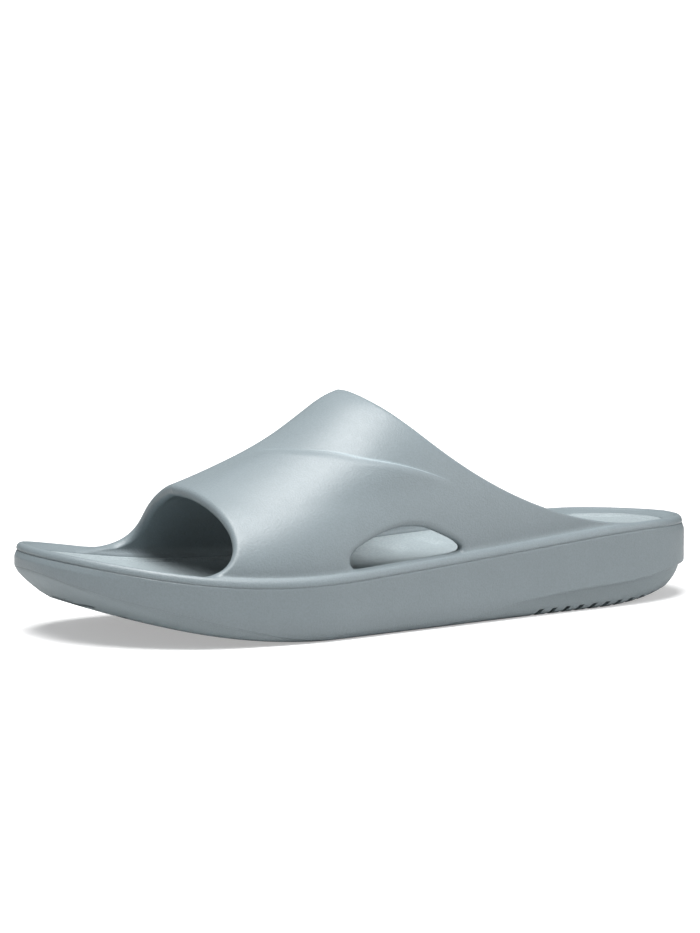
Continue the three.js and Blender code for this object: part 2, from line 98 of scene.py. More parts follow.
class Table:
    """A short table with named columns, read as smooth curves over its first column."""

    def __init__(self, columns: str, *rows: tuple[float, ...]) -> None:
        """Keeps the rows.

        Args:
            columns: The columns' names, with spaces between them.
            rows: One tuple of numbers for each row.
        """
        self.columns = columns.split()
        self.rows = np.array(rows)

    def column(self, name: str) -> Array:
        """The numbers of one column."""
        return self.rows[:, self.columns.index(name)]

    def curve(self, name: str) -> Curve:
        """Natural cubic curve through one column.

        Args:
            name: The column's name.

        Returns:
            A function from places in the first column to the column's smooth value there.
        """
        at = self.rows[:, 0]
        value = self.column(name)
        count = len(at)
        width = np.diff(at)
        slope = np.diff(value) / width
        system = np.eye(count)
        right = np.zeros(count)
        for i in range(1, count - 1):
            system[i, i - 1:i + 2] = (width[i - 1], 2 * (width[i - 1] + width[i]), width[i])
            right[i] = 6 * (slope[i] - slope[i - 1])
        bend = np.linalg.solve(system, right)

        def smooth(place: Array) -> Array:
            """Value of the curve at each place."""
            i = np.clip(np.searchsorted(at[1:], place), 0, count - 2)
            a = (at[i + 1] - place) / width[i]
            b = (place - at[i]) / width[i]
            bow = (a**3 - a) * bend[i] + (b**3 - b) * bend[i + 1]
            return a * value[i] + b * value[i + 1] + bow * width[i] ** 2 / 6

        return smooth


def blend(a: Array, b: Array, share: Array) -> Array:
    """Goes from a to b as share goes from 0 to 1."""
    return a + (b - a) * share


def ease(value: Array, low: float, high: float) -> Array:
    """Smooth step from 0 at low to 1 at high."""
    share = np.clip((value - low) / (high - low), 0, 1)
    return share * share * (3 - 2 * share)


# Outline: half widths as shares of half the ball width, by station from the heel (0) to the toe (1)
OUTLINE = Table(
    "at outer inner",
    (0.00, 0.94, 0.95), (0.05, 0.94, 0.95), (0.12, 0.89, 0.91), (0.20, 0.84, 0.82),
    (0.30, 0.82, 0.73), (0.40, 0.85, 0.70), (0.50, 0.91, 0.74), (0.60, 1.00, 0.84),
    (0.68, 1.10, 0.92), (0.75, 1.17, 0.99), (0.82, 1.25, 1.03), (0.88, 1.31, 1.06),
    (0.94, 1.32, 1.07), (1.00, 1.32, 1.07),
)
# Height of the rim's crest as shares of the rim height
RIM = Table(
    "at outer inner",
    (0.0, 1.00, 0.95), (0.1, 1.03, 0.99), (0.2, 1.00, 0.97), (0.3, 0.94, 0.92),
    (0.4, 0.88, 0.86), (0.5, 0.825, 0.81), (0.6, 0.775, 0.77), (0.7, 0.745, 0.75),
    (0.8, 0.785, 0.80), (0.9, 0.905, 0.93), (1.0, 1.08, 1.11),
)
# Lower edge of the side wall as shares of the edge's round, and the band's setback and bevel below
# it as shares of their sizes, by station
BAND = Table(
    "at height setback bevel",
    (0.00, 0.66, 1, 0.6), (0.06, 1.00, 1, 0.5), (0.12, 1.02, 1, 0.3), (0.20, 1.00, 1, 0.1),
    (0.30, 0.83, 0.85, 0), (0.38, 0.55, 0.4, 0), (0.44, 0.20, 0.05, 0), (0.50, 0.07, 0, 0),
    (0.60, 0.06, 0, 0), (0.70, 0.08, 0, 0), (0.77, 0.32, 0.2, 0.05), (0.84, 0.54, 0.7, 0.35),
    (0.90, 0.65, 1, 0.8), (0.95, 0.65, 0.4, 1.2), (1.00, 0.85, 0.2, 1.4),
)
# Rim bead from its inner foot over the crest: insets as shares of the crest's, drops of the depth
BEAD = Table("at inset drop", (0, 1.8, 0.08), (1, 1.0, 0), (2, 0.3, 0.3), (3, 0.0, 0.75))
# Strap: ridge height as shares of the instep height, and how full the arch is on each side
ARCH = Table(
    "at ridge outer inner",
    (0.30, 1.05, 1.82, 1.84), (0.40, 1.11, 1.84, 1.80), (0.48, 1.09, 1.87, 1.72),
    (0.56, 0.99, 1.90, 1.64), (0.64, 0.825, 1.94, 1.60), (0.72, 0.70, 1.99, 1.60),
    (0.80, 0.605, 2.03, 1.60), (0.88, 0.54, 2.07, 1.60),
)
# Stations of the strap's edges, from the rim (0) to the ridge (1)
EDGES = Table(
    "at outer_front inner_front rear",
    (0.00, 0.82, 0.85, 0.172), (0.12, 0.80, 0.812, 0.288), (0.25, 0.788, 0.79, 0.393),
    (0.50, 0.784, 0.785, 0.498), (0.75, 0.787, 0.786, 0.54), (1.00, 0.79, 0.79, 0.551),
)
# Station of the crease, from low on the side to near the ridge
CREASE = Table(
    "at station",
    (0.27, 0.459), (0.35, 0.516), (0.48, 0.585), (0.55, 0.606), (0.73, 0.650), (0.88, 0.676),
)
# Stations of the ripples inside, on the lining's and the footbed's inner side
RIPPLES = (0.35, 0.39, 0.455, 0.5)
# Almond cut-out: height above its sill as shares of its full height, by station
CUTOUT = Table(
    "at height",
    (0.450, 0.12), (0.458, 0.30), (0.469, 0.45), (0.492, 0.71), (0.511, 0.89), (0.530, 0.97),
    (0.550, 1.00), (0.572, 0.94), (0.597, 0.80), (0.620, 0.61), (0.631, 0.45), (0.635, 0.28),
    (0.633, 0.12),
)


@dataclass
class Outline:
    """Points round the sole, seen from above: heel, outer side, toe, inner side."""

    station: Array
    x: Array
    y: Array
    inward: Array

    def ring(self, inset: Array | float, height: Array | float | Curve) -> Array:
        """Ring round the sole.

        Args:
            inset: How far in from the outline.
            height: Heights, or a function that gives them for x and y.

        Returns:
            One row of x, y, z for each point.
        """
        x = self.x + self.inward[:, 0] * inset
        y = self.y + self.inward[:, 1] * inset
        z = height(x, y) if callable(height) else height
        return np.stack(np.broadcast_arrays(x, y, z), axis=1)


@dataclass(frozen=True)
class Last:
    """Sizes and surfaces that every piece of the sandal follows, in metres."""

    length: float = cad_high.x - cad_low.x
    ball_width: float = 107 * MM
    toe_sway: float = 19 * MM
    sway_start: float = 0.45
    sway_power: float = 2.2
    envelope_power: float = 2.5
    rim_height: float = 34 * MM
    rim_blend: float = 0.37
    crest_inset: float = 1.5 * MM
    toe_spring: float = 19 * MM
    toe_spring_start: float = 0.66
    heel_bevel: float = 8 * MM
    heel_bevel_end: float = 0.2
    edge_round: float = 5.5 * MM
    edge_round_height: float = 10 * MM
    dish_depth: float = 5 * MM
    dish_reach: float = 30 * MM
    arch_rise: float = 4 * MM
    arch_station: float = 0.42
    arch_spread: float = 0.13
    outsole_thickness: float = 6 * MM
    footbed_inset: float = 9.5 * MM
    footbed_thickness: float = 4 * MM
    clearance: float = 0.3 * MM
    shelf_width: float = 1 * MM
    slope_run: float = 0.85
    spine_margin: float = 4 * MM
    around: int = 640

    def station_x(self, station: Array) -> Array:
        """X of a station."""
        return self.length * (0.5 - station)

    def station_of(self, x: Array) -> Array:
        """Station of an x."""
        return np.clip(0.5 - x / self.length, 0, 1)

    def centreline(self, station: Array) -> Array:
        """Y of the sole's middle line, which sways to the inner side at the toe."""
        share = np.clip((station - self.sway_start) / (1 - self.sway_start), 0, 1)
        return self.toe_sway * share**self.sway_power

    def edge_y(self, station: Array, side: Array | int) -> Array:
        """Y of the outline on one side.

        Args:
            station: Places along the sole, 0 at the heel and 1 at the toe.
            side: OUTER or INNER.

        Returns:
            The edge's y, before the sandal is centred.
        """
        end = np.abs(2 * station - 1)
        envelope = np.maximum(0, 1 - end**self.envelope_power) ** (1 / self.envelope_power)
        share = np.where(np.asarray(side) < 0, OUTLINE.curve("outer")(station),
                         OUTLINE.curve("inner")(station))
        return self.centreline(station) + side * self.ball_width / 2 * share * envelope

    def outline(self) -> Outline:
        """Works out the outline of the sole.

        Returns:
            Its points with their inward directions.
        """
        turn = 2 * np.pi * np.arange(self.around) / self.around
        station = (1 - np.cos(turn)) / 2
        side = np.where(turn <= np.pi, OUTER, INNER)
        x = self.station_x(station)
        y = self.edge_y(station, side)
        along = np.stack([np.roll(x, -1) - np.roll(x, 1), np.roll(y, -1) - np.roll(y, 1)], axis=1)
        along /= np.linalg.norm(along, axis=1)[:, None]
        inward = np.stack([along[:, 1], -along[:, 0]], axis=1)
        outwards = inward[:, 0] * x + inward[:, 1] * (y - self.centreline(station)) > 0
        inward[outwards] *= -1
        return Outline(station, x, y, inward)

    def shift(self) -> float:
        """Y by which the sandal is moved so that its width is centred."""
        y = self.outline().y
        return -(y.min() + y.max()) / 2

    def rim_z(self, x: Array, y: Array) -> Array:
        """Height of the rim's crest.

        Args:
            x: Places along the sandal.
            y: Places across it.

        Returns:
            The heights.
        """
        station = self.station_of(x)
        across = np.clip((y - self.centreline(station)) / (self.rim_blend * self.ball_width), 0, 1)
        share = blend(RIM.curve("outer")(station), RIM.curve("inner")(station), across)
        return self.rim_height * share

    def underside_z(self, station: Array) -> Array:
        """Height of the sole's underside: toe spring and heel bevel.

        Args:
            station: Places along the sole, 0 at the heel and 1 at the toe.

        Returns:
            The heights.
        """
        toe = np.clip((station - self.toe_spring_start) / (1 - self.toe_spring_start), 0, 1)
        heel = np.clip((self.heel_bevel_end - station) / self.heel_bevel_end, 0, 1)
        return self.toe_spring * toe**2 + self.heel_bevel * heel**2

    def footbed_z(self, x: Array, y: Array, inset: Array | float) -> Array:
        """Height of the dished surface that the foot stands on.

        Args:
            x: Places along the sandal.
            y: Places across it.
            inset: How far in from the outline.

        Returns:
            The heights.
        """
        station = self.station_of(x)
        share = np.clip((inset - self.crest_inset) / (self.dish_reach - self.crest_inset), 0, 1)
        depth = 1 - (1 - share) ** 2
        in_arch = np.exp(-(((station - self.arch_station) / self.arch_spread) ** 2))
        to_inner = ease(y, 0, self.ball_width / 3)
        rise = self.arch_rise * in_arch * to_inner - self.dish_depth
        return self.rim_z(x, y) + rise * depth

    def edge_turn(self, height: Array) -> Array:
        """How far the sole's lower edge turns in at a height above the underside."""
        part = np.clip(1 - height / self.edge_round_height, 0, 1)
        return self.edge_round * (1 - np.sqrt(1 - part**2))

    def wall_foot_z(self, station: Array) -> Array:
        """Height of the side wall's lower edge."""
        height = self.edge_round_height * BAND.curve("height")(station)
        return self.underside_z(station) + height

    def joint_z(self, x: Array, y: Array) -> Array:
        """Height of the face where body and outsole meet."""
        return self.underside_z(self.station_of(x)) + self.outsole_thickness

    def shelf_inset(self) -> float:
        """Inset of the shelf's inner edge, where the joint starts to slope."""
        return self.edge_round + self.shelf_width

    def slope_end_inset(self) -> float:
        """Inset where the joint's slope ends."""
        return self.shelf_inset() + self.slope_run * self.outsole_thickness

    def towards_spine(self, outline: Outline, edge: Array, shares: Array,
                      height: Callable[[Array, Array, float], Array]) -> list[Array]:
        """Rings that close a surface towards the sole's middle line.

        Args:
            outline: The outline that the edge follows.
            edge: The ring to start from.
            shares: How far along each ring lies, 0 at the edge and 1 at the spine.
            height: Gives the heights for x, y and a share.

        Returns:
            One ring for each share.
        """
        spine_share = 1 - 2 * (self.dish_reach + self.spine_margin) / self.length
        spine_station = 0.5 + (outline.station - 0.5) * spine_share
        rings = []
        for share in shares:
            x = blend(edge[:, 0], self.station_x(spine_station), share)
            y = blend(edge[:, 1], self.centreline(spine_station), share)
            rings.append(np.stack([x, y, height(x, y, share)], axis=1))
        return rings


def mesh_of(name: str, rings: list[Array], shift: float) -> bpy.types.Mesh:
    """Closed surface through a stack of rings whose first and last ring have shrunk to a line.

    Args:
        name: The mesh's name.
        rings: The rings, each with as many points.
        shift: Y by which the surface is moved.

    Returns:
        The mesh, its doubled points merged.
    """
    count = len(rings[0])
    points = np.concatenate(rings) + np.array([0, shift, 0])
    a = (np.arange(len(rings) - 1)[:, None] * count + np.arange(count)).ravel()
    b = (np.arange(len(rings) - 1)[:, None] * count + (np.arange(count) + 1) % count).ravel()
    faces = np.stack([a, b, b + count, a + count], axis=1)
    mesh = bpy.data.meshes.new(name)
    mesh.from_pydata(points.tolist(), [], faces.tolist())
    work = bmesh.new()
    work.from_mesh(mesh)
    bmesh.ops.remove_doubles(work, verts=work.verts, dist=MERGED)
    bmesh.ops.dissolve_degenerate(work, edges=work.edges, dist=SLIVER)
    work.to_mesh(mesh)
    work.free()
    return mesh


def piece_of(mesh: bpy.types.Mesh) -> bpy.types.Object:
    """An object at the origin that shows the mesh."""
    piece = bpy.data.objects.new(mesh.name, mesh)
    bpy.context.scene.collection.objects.link(piece)
    return piece


def baked(piece: bpy.types.Object) -> bpy.types.Mesh:
    """Plain mesh of a piece with its modifiers done; the modifiers are removed."""
    bpy.context.view_layer.update()
    seen = piece.evaluated_get(bpy.context.evaluated_depsgraph_get())
    mesh = bpy.data.meshes.new_from_object(seen)
    piece.modifiers.clear()
    return mesh


class Cut(Enum):
    """How two solids are put together."""

    JOIN = "UNION"
    TAKE = "DIFFERENCE"


def combined(first: bpy.types.Mesh, second: bpy.types.Mesh, cut: Cut) -> bpy.types.Mesh:
    """One solid out of two.

    Args:
        first: The solid that stays.
        second: The solid that joins it or is taken from it.
        cut: Which of the two.

    Returns:
        The new mesh, in triangles.
    """
    piece = piece_of(first)
    other = piece_of(second)
    modifier = piece.modifiers.new("cut", "BOOLEAN")
    modifier.operation = cut.value
    modifier.solver = "MANIFOLD"
    modifier.object = other
    mesh = baked(piece)
    bpy.data.objects.remove(piece)
    bpy.data.objects.remove(other)
    work = bmesh.new()
    work.from_mesh(mesh)
    bmesh.ops.triangulate(work, faces=work.faces)
    bmesh.ops.dissolve_degenerate(work, edges=work.edges, dist=CUT_SLIVER)
    bmesh.ops.triangulate(work, faces=[face for face in work.faces if len(face.verts) > 3])
    work.to_mesh(mesh)
    work.free()
    return mesh


class Solid:
    """A closed mesh that distances are measured to."""

    def __init__(self, mesh: bpy.types.Mesh) -> None:
        """Builds the search tree."""
        points = [vertex.co[:] for vertex in mesh.vertices]
        faces = [tuple(face.vertices) for face in mesh.polygons]
        self.tree = BVHTree.FromPolygons(points, faces)

    def measure(self, points: Array) -> tuple[Array, Array]:
        """Signed distances.

        Args:
            points: One row for each point.

        Returns:
            The distances, below zero inside, and the unit directions in which they grow.
        """
        distance = np.zeros(len(points))
        away = np.zeros((len(points), 3))
        for i, point in enumerate(points):
            near, normal, _, gap = self.tree.find_nearest(Vector(point))
            offset = Vector(point) - near
            sign = 1 if offset.dot(normal) >= 0 else -1
            distance[i] = sign * gap
            away[i] = sign * offset / gap if gap > 0.02 * MM else normal
        return distance, away


class Corner(Enum):
    """The kind of corner that is softened."""

    FILLET = 1
    EDGE = -1


def softened(mesh: bpy.types.Mesh, first: Solid, second: Solid, corner: Corner,
             reach: Callable[[Array], Array], rounds: int = 5) -> None:
    """Rounds the corner where two solids meet, in place.

    Args:
        mesh: The joined or cut mesh.
        first: The solid that stayed.
        second: The solid that joined it or was taken from it.
        corner: A fillet between joined solids, or a rounded edge of a cut one.
        reach: Gives for points how far the round reaches from the corner.
        rounds: How often the points are evened out and put back on the surface.
    """
    count = len(mesh.vertices)
    points = np.empty(count * 3)
    mesh.vertices.foreach_get("co", points)
    points = points.reshape(-1, 3)
    edges = np.empty(len(mesh.edges) * 2, int)
    mesh.edges.foreach_get("vertices", edges)
    edges = edges.reshape(-1, 2)
    sign = corner.value

    def field_at(place: Array) -> tuple[Array, Array]:
        """Value and gradient of the softened surface's field."""
        k = reach(place)
        a, away_a = first.measure(place)
        b, away_b = second.measure(place)
        a, away_a = sign * a, sign * away_a
        h = np.maximum(k - np.abs(a - b), 0) / k
        value = np.minimum(a, b) - h * h * k / 4
        weight = np.where(a < b, 1 - h / 2, h / 2)[:, None]
        return sign * value, sign * (weight * away_a + (1 - weight) * away_b)

    margin = 1.5
    pull = 0.5
    least_slope = 0.2
    a, _ = first.measure(points)
    b, _ = second.measure(points)
    near = np.flatnonzero(np.maximum(np.abs(a), np.abs(b)) < margin * reach(points))
    moving = np.zeros(count, bool)
    moving[near] = True
    links = edges[moving[edges].any(axis=1)]
    for _ in range(rounds):
        total = np.zeros((count, 3))
        degree = np.zeros(count)
        for i, j in ((0, 1), (1, 0)):
            np.add.at(total, links[:, i], points[links[:, j]])
            np.add.at(degree, links[:, i], 1)
        target = total[near] / degree[near][:, None]
        points[near] = blend(points[near], target, pull)
        for _ in range(2):
            value, gradient = field_at(points[near])
            size = np.maximum((gradient**2).sum(axis=1), least_slope)
            points[near] -= (value / size)[:, None] * gradient
    mesh.vertices.foreach_set("co", points.ravel())
    mesh.update()


@dataclass
class Midsole:
    """Recess for the footbed, ledge, rim bead, side wall and underside."""

    last: Last
    bead_depth: float = 3.2 * MM
    groove: float = 0.28 * MM
    groove_height: float = 0.9 * MM
    tip_reach: float = 0.1
    tip_lean: float = 0.3
    tip_flare: float = 0.9 * MM
    flare_height: float = 3 * MM
    recess_round: float = 0.35 * MM
    ledge_gap: float = 0.5 * MM
    foot_round: float = 0.5 * MM
    wall_rings: int = 18
    ledge_rings: int = 8

    def mesh(self) -> bpy.types.Mesh:
        """Builds the midsole.

        Returns:
            Its closed surface.
        """
        last = self.last
        outline = last.outline()
        recess = last.footbed_inset - last.clearance

        def floor_z(x: Array, y: Array, share: float) -> Array:
            """Height of the recess's floor."""
            inset = blend(recess, last.dish_reach, share)
            return last.footbed_z(x, y, inset) - last.footbed_thickness - last.clearance

        floor_edge = outline.ring(recess, lambda x, y: floor_z(x, y, 0))
        rings = last.towards_spine(outline, floor_edge, TO_SPINE[::-1], floor_z)
        rings.append(floor_edge)
        rings.append(outline.ring(recess,
                                  lambda x, y: last.footbed_z(x, y, recess) - self.recess_round))
        bead_foot = last.crest_inset * BEAD.column("inset")[0]
        lean = 1 + self.tip_lean * self.tips(outline)
        for share in np.linspace(0, 1, self.ledge_rings):
            foot = bead_foot * lean + self.flare(outline, 0) + self.ledge_gap
            inset = blend(recess - self.recess_round, foot, share)
            rings.append(outline.ring(inset, lambda x, y: last.footbed_z(x, y, inset)))
        for inset, drop, inside in self.bead_profile():
            inset = inset * lean + self.flare(outline, drop)
            rings.append(outline.ring(inset, lambda x, y: blend(
                last.rim_z(x, y) - drop, last.footbed_z(x, y, inset),
                inside * self.tips(outline))))
        rings += self.wall(outline)
        shelf = last.wall_foot_z(outline.station)
        rings.append(outline.ring(last.shelf_inset(), shelf))
        slope = outline.ring(last.slope_end_inset(), last.joint_z)
        rings.append(slope)
        rings += last.towards_spine(outline, slope, TO_SPINE,
                                    lambda x, y, share: last.joint_z(x, y))
        return mesh_of("midsole", rings, last.shift())

    def tips(self, outline: Outline) -> Array:
        """1 at the tips of heel and toe, 0 along the sides."""
        return 1 - ease(np.minimum(outline.station, 1 - outline.station), 0, self.tip_reach)

    def flare(self, outline: Outline, drop: Array | float) -> Array:
        """How far the tips' rim stands back, by the drop below the crest."""
        share = 1 - ease(drop, self.bead_depth, self.bead_depth + self.flare_height)
        return self.tip_flare * share * self.tips(outline)

    def bead_profile(self) -> list[tuple[float, float, float]]:
        """Section of the rim bead and of the fine groove under it.

        Returns:
            For each point its inset, its drop and how far inside the crest it lies.
        """
        last = self.last
        inset = BEAD.curve("inset")
        drop = BEAD.curve("drop")
        profile = [(last.crest_inset * float(inset(t)), self.bead_depth * float(drop(t)),
                    max(0, 1 - t)) for t in np.linspace(0, 3, 13)]
        half = self.groove_height / 2
        for t in np.linspace(-1, 1, 9):
            deep = self.groove * math.cos(t * math.pi / 2) ** 2
            profile.append((deep, self.bead_depth + half * t, 0))
        return profile

    def wall(self, outline: Outline) -> list[Array]:
        """Rings of the side wall, down to its rounded lower edge.

        Args:
            outline: The sole's outline.

        Returns:
            The rings, from the top.
        """
        last = self.last
        rim = last.rim_z(outline.x, outline.y)
        top = rim - self.bead_depth - self.groove_height / 2
        foot = last.wall_foot_z(outline.station)
        under = last.underside_z(outline.station)
        rings = []
        for share in np.linspace(0, 1, self.wall_rings)[1:-1]:
            z = blend(top, foot, share)
            inset = last.edge_turn(z - under) + self.flare(outline, rim - z)
            rings.append(outline.ring(inset, z))
        radius = self.foot_round
        for turn in np.linspace(0, np.pi / 2, 5):
            z = foot + radius * (1 - np.sin(turn))
            inset = last.edge_turn(foot + radius - under) + radius * (1 - np.cos(turn))
            rings.append(outline.ring(inset, z))
        return rings


@dataclass
class Strap:
    """The arch over the foot, with its crease and the almond cut-out in its outer side."""

    last: Last
    instep_height: float = 94 * MM
    wall: float = 5 * MM
    inset: float = 2.6 * MM
    ridge_shift: float = 3.5 * MM
    sunk: float = 8.2 * MM
    tail_rise: float = 0.08
    tail_dive: float = 2.5 * MM
    tail_front: float = 0.02
    tail_rear: float = 0.05
    rear_trim: float = 0.3
    crease_bulge: float = 0.7 * MM
    crease_bulge_width: float = 5 * MM
    crease_step: float = 0.6 * MM
    crease_width: float = 1.1 * MM
    crease_start: float = 0.26
    crease_end: float = 0.95
    crease_runout: float = 45 * MM
    crease_spread: float = 3 * MM
    cutout_height: float = 13.8 * MM
    cutout_sill: float = 0.6 * MM
    peak_roll: float = 1.1 * MM
    peak_reach: float = 9 * MM
    ripple_depth: float = 0.7 * MM
    ripple_width: float = 5 * MM
    ripple_sway: float = 4 * MM
    # Rises between which the crease, its painted highlight line, the ripples and the peak's roll
    # come or go
    bulge_start: tuple[float, float] = (0.22, 0.4)
    step_start: tuple[float, float] = (0.26, 0.36)
    crease_fade: tuple[float, float] = (0.8, 0.98)
    highlight_start: tuple[float, float] = (0.26, 0.42)
    highlight_fade: tuple[float, float] = (0.5, 0.7)
    highlight_end: tuple[float, float] = (0.85, 0.95)
    highlight_left: float = 0.25
    ripple_start: tuple[float, float] = (0.02, 0.1)
    ripple_fade: tuple[float, float] = (0.5, 0.65)
    peak_start: tuple[float, float] = (0.6, 0.9)
    tail_loops: int = 8
    arch_loops: int = 100
    front_rows: int = 40
    crease_rows: int = 31
    rear_rows: int = 32
    lip_steps: int = 11

    def tail(self, rise: float) -> float:
        """How far the strap's low end has tapered: 0 above it and 1 at the rim."""
        return max(0, 1 - rise / self.tail_rise) ** 2

    def arch_point(self, station: Array, rise: float, side: int) -> Array:
        """Points of the strap's outer face.

        Args:
            station: Places along the sole, 0 at the heel and 1 at the toe.
            rise: 0 at the rim and 1 at the ridge.
            side: OUTER or INNER.

        Returns:
            One row of x, y, z for each.
        """
        last = self.last
        angle = rise * math.pi / 2
        power = 2 / ARCH.curve("outer" if side < 0 else "inner")(station)
        base_y = last.edge_y(station, side) - side * self.inset
        x = last.station_x(station)
        base_z = last.rim_z(x, base_y)
        ridge_y = last.centreline(station) + self.ridge_shift
        ridge_z = self.instep_height * ARCH.curve("ridge")(station)
        y = blend(ridge_y, base_y, max(0, math.cos(angle)) ** power)
        z = blend(base_z, ridge_z, math.sin(angle) ** power) - self.tail_dive * self.tail(rise)
        return np.stack([x, y, z], axis=1)

    def crease_lift(self, station: Array, rise: float, side: int) -> Array:
        """How far the face stands out in front of the crease.

        Args:
            station: Places along the sole, 0 at the heel and 1 at the toe.
            rise: 0 at the rim and 1 at the ridge.
            side: OUTER or INNER.

        Returns:
            The lift at each station.
        """
        if side > 0:
            return np.zeros_like(station)
        high = 1 - ease(rise, *self.crease_fade)
        ahead = self.last.length * (station - CREASE.curve("station")(rise))
        runout = 1 - ease(ahead, 0, self.crease_runout)
        bulge = self.crease_bulge * ease(ahead, 0, self.crease_bulge_width)
        half = self.crease_width / 2
        step = self.crease_step * ease(ahead, -half, half)
        step *= ease(rise, *self.step_start)
        return high * runout * (ease(rise, *self.bulge_start) * bulge + step)

    def crease_line(self) -> Array:
        """Follows the top edge of the crease.

        Returns:
            One row of x, y, z for each point, and how strongly the painted highlight shows there.
        """
        points = []
        for rise in np.linspace(self.crease_start, self.crease_end, 160):
            station = CREASE.curve("station")(np.array([rise]))
            # How strongly the painted highlight shows at this rise
            share = ease(rise, *self.highlight_start)
            share *= blend(1, self.highlight_left, ease(rise, *self.highlight_fade))
            share *= 1 - ease(rise, *self.highlight_end)
            point = self.arch_point(station, float(rise), OUTER)[0]
            points.append((*point, share))
        return np.array(points) + np.array([0, self.last.shift(), 0, 0])

    def ripple(self, station: Array, rise: float) -> Array:
        """Soft upright ripples in the inner side's lining, each bent like an S.

        Args:
            station: Places along the sole, 0 at the heel and 1 at the toe.
            rise: 0 at the rim and 1 at the ridge.

        Returns:
            Their depth at each station.
        """
        sway = self.ripple_sway * math.sin(4 * math.pi * rise)
        deep = np.zeros_like(station)
        for middle in RIPPLES:
            off = self.last.length * (station - middle) + sway
            deep += np.exp(-((off / self.ripple_width) ** 2))
        return self.ripple_depth * deep * ease(rise, *self.ripple_start) * (
            1 - ease(rise, *self.ripple_fade))

    def rows(self, rise: float, side: int) -> tuple[Array, Array, Array]:
        """Points of one rise from the front edge to the rear edge.

        Args:
            rise: 0 at the rim and 1 at the ridge.
            side: OUTER or INNER.

        Returns:
            The points, the directions out of the face and the directions towards the toe.
        """
        tail = self.tail(rise)
        front = EDGES.curve("outer_front" if side < 0 else "inner_front")(rise)
        front += self.tail_front * tail
        rear = EDGES.curve("rear")(rise) + self.rear_trim * self.wall / self.last.length
        rear -= self.tail_rear * tail
        first = CREASE.column("at")[0]
        guide_rise = max(first, min(rise, self.crease_end)) if side < 0 else self.crease_end
        guide = CREASE.curve("station")(guide_rise)
        half = self.crease_spread / self.last.length
        station = np.concatenate([
            np.linspace(front, guide + half, self.front_rows, endpoint=False),
            np.linspace(guide + half, guide - half, self.crease_rows, endpoint=False),
            np.linspace(guide - half, rear, self.rear_rows),
        ])
        step = 0.004
        at = min(max(rise, step), 1 - step)
        up = self.arch_point(station, at + step, side) - self.arch_point(station, at - step, side)
        forward = (self.arch_point(station + step, at, side)
                   - self.arch_point(station - step, at, side))
        out = np.cross(forward, up) * side
        out /= np.linalg.norm(out, axis=1)[:, None]
        forward /= np.linalg.norm(forward, axis=1)[:, None]
        to_rear = np.maximum(0, 1 - self.last.length * (station - rear) / self.peak_reach)
        roll = self.peak_roll * to_rear**2 * ease(rise, *self.peak_start)
        lift = (self.crease_lift(station, rise, side) - roll)[:, None]
        return self.arch_point(station, rise, side) + out * lift, out, forward

    def loop(self, rise: float, side: int) -> Array:
        """Section of the wall on one side, with half round edges.

        Args:
            rise: 0 at the rim and 1 at the ridge.
            side: OUTER or INNER.

        Returns:
            One closed loop.
        """
        point, out, forward = self.rows(rise, side)
        turns = np.linspace(0, np.pi, self.lip_steps + 2)[1:-1, None]

        def lip(row: int, sign: int) -> Array:
            """The half round from the outer to the inner face."""
            return (point[row] + out[row] * self.wall / 2 * (np.cos(turns) - 1)
                    + forward[row] * sign * self.wall / 2 * np.sin(turns))

        wall = np.full(len(point), self.wall)
        if side > 0:
            wall -= self.ripple(self.last.station_of(point[:, 0]), rise)
            wall[[0, -1]] = self.wall
        inside = (point - out * wall[:, None])[::-1]
        return np.concatenate([point, lip(-1, -1), inside, lip(0, 1)[::-1]])

    def foot(self, side: int) -> list[Array]:
        """Lowest part of the wall, sunk into the midsole.

        Args:
            side: OUTER or INNER.

        Returns:
            The loop there and the line down the middle of its wall.
        """
        sunk = self.loop(0, side) - np.array([0, 0, self.sunk])
        last_inside = len(sunk) - self.lip_steps - 1
        across = sunk[(last_inside - np.arange(len(sunk))) % len(sunk)]
        return [sunk, blend(sunk, across, 0.5)]

    def mesh(self) -> bpy.types.Mesh:
        """Builds the strap.

        Returns:
            Its closed surface, before the cut-out.
        """
        low = np.linspace(0, self.tail_rise, self.tail_loops, endpoint=False)
        rises = np.concatenate([low, np.linspace(self.tail_rise, 1, self.arch_loops)])
        up = [self.loop(rise, OUTER) for rise in rises]
        down = [self.loop(rise, INNER) for rise in rises[-2::-1]]
        outer, inner = self.foot(OUTER), self.foot(INNER)
        return mesh_of("strap", [outer[1], outer[0], *up, *down, *inner], self.last.shift())

    def cutter(self) -> bpy.types.Mesh:
        """Builds the solid that cuts the almond through the outer side.

        Returns:
            Its closed surface.
        """
        last = self.last
        station, height = CUTOUT.column("at"), CUTOUT.column("height")
        sill = blend(station[0], station[-1], np.array([0.96, 0.75, 0.5, 0.25, 0.04]))
        station = np.concatenate([station, sill])
        height = np.concatenate([height, np.zeros(len(sill))])
        rim = last.rim_height * RIM.curve("outer")(station)
        profile = np.stack([last.station_x(station),
                            rim + self.cutout_sill + self.cutout_height * height], axis=1)
        for _ in range(3):
            after = np.roll(profile, -1, axis=0)
            pair = np.stack([blend(profile, after, 0.25), blend(profile, after, 0.75)], axis=1)
            profile = pair.reshape(-1, 2)
        middle = profile.mean(axis=0)
        # Rings every millimetre where the wall is
        depths = np.concatenate([[-last.ball_width], np.arange(-62, -20) * MM, [0]])
        rings = [np.stack([profile[:, 0], np.full(len(profile), y), profile[:, 1]], axis=1)
                 for y in depths]
        caps = [np.broadcast_to([middle[0], y, middle[1]], rings[0].shape)
                for y in (depths[0], depths[-1])]
        return mesh_of("cutter", [caps[0], *rings, caps[1]], last.shift())


